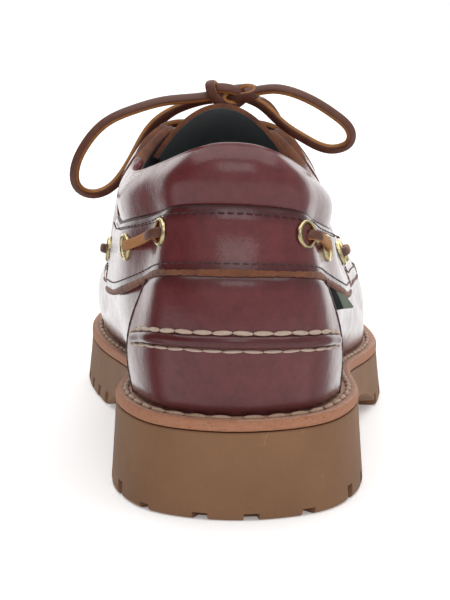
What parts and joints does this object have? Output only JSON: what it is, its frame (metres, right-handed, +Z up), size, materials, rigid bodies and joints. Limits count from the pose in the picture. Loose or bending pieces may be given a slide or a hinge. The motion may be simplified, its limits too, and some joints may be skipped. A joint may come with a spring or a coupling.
{
  "type": "loafer",
  "caption": "Low burgundy leather loafer with a hand-sewn apron, padded collar, rawhide lace through brass eyelets, tan welt and lugged gum rubber sole.",
  "frame": {"origin": "on the floor under the middle of the outsole's plan outline", "axes": "+Y from heel to toe, +X to the outer (lateral) side of this right shoe, +Z up"},
  "size_m": [0.1138, 0.3034, 0.1262],
  "materials": {
    "burgundy_leather": "polished",
    "rawhide_lace": "matte, oiled",
    "tan_welt_leather": "matte, cut edge",
    "gum_rubber": "matte",
    "dark_lining": "matte",
    "brass": "polished",
    "woven_tab": "woven, plain"
  },
  "bodies": {
    "root": {"apron": "burgundy_leather", "apron_seam": "burgundy_leather", "collar_band": "burgundy_leather", "eyelet_lateral_band_front": "brass", "eyelet_lateral_band_rear": "brass", "eyelet_lateral_side_front": "brass", "eyelet_lateral_side_rear": "brass", "eyelet_lateral_throat_front": "brass", "eyelet_lateral_throat_middle": "brass", "eyelet_lateral_throat_top": "brass", "eyelet_medial_band_front": "brass", "eyelet_medial_band_rear": "brass", "eyelet_medial_side_front": "brass", "eyelet_medial_side_rear": "brass", "eyelet_medial_throat_front": "brass", "eyelet_medial_throat_middle": "brass", "eyelet_medial_throat_top": "brass", "eyestay_lateral": "burgundy_leather", "eyestay_medial": "burgundy_leather", "heel_panel": "burgundy_leather", "heel_seam": "burgundy_leather", "insole": "dark_lining", "label_tab": "woven_tab", "lace_bar_front": "rawhide_lace", "lace_bar_top": "rawhide_lace", "lace_crossing_lower": "rawhide_lace", "lace_crossing_upper": "rawhide_lace", "lace_end_lateral": "rawhide_lace", "lace_end_medial": "rawhide_lace", "lace_knot": "rawhide_lace", "lace_loop_lateral": "rawhide_lace", "lace_loop_medial": "rawhide_lace", "lace_run_lateral_front": "rawhide_lace", "lace_run_lateral_rear": "rawhide_lace", "lace_run_medial_front": "rawhide_lace", "lace_run_medial_rear": "rawhide_lace", "outsole": "gum_rubber", "tongue": "burgundy_leather", "upper": "burgundy_leather", "welt": "tan_welt_leather"}
  },
  "joints": []
}
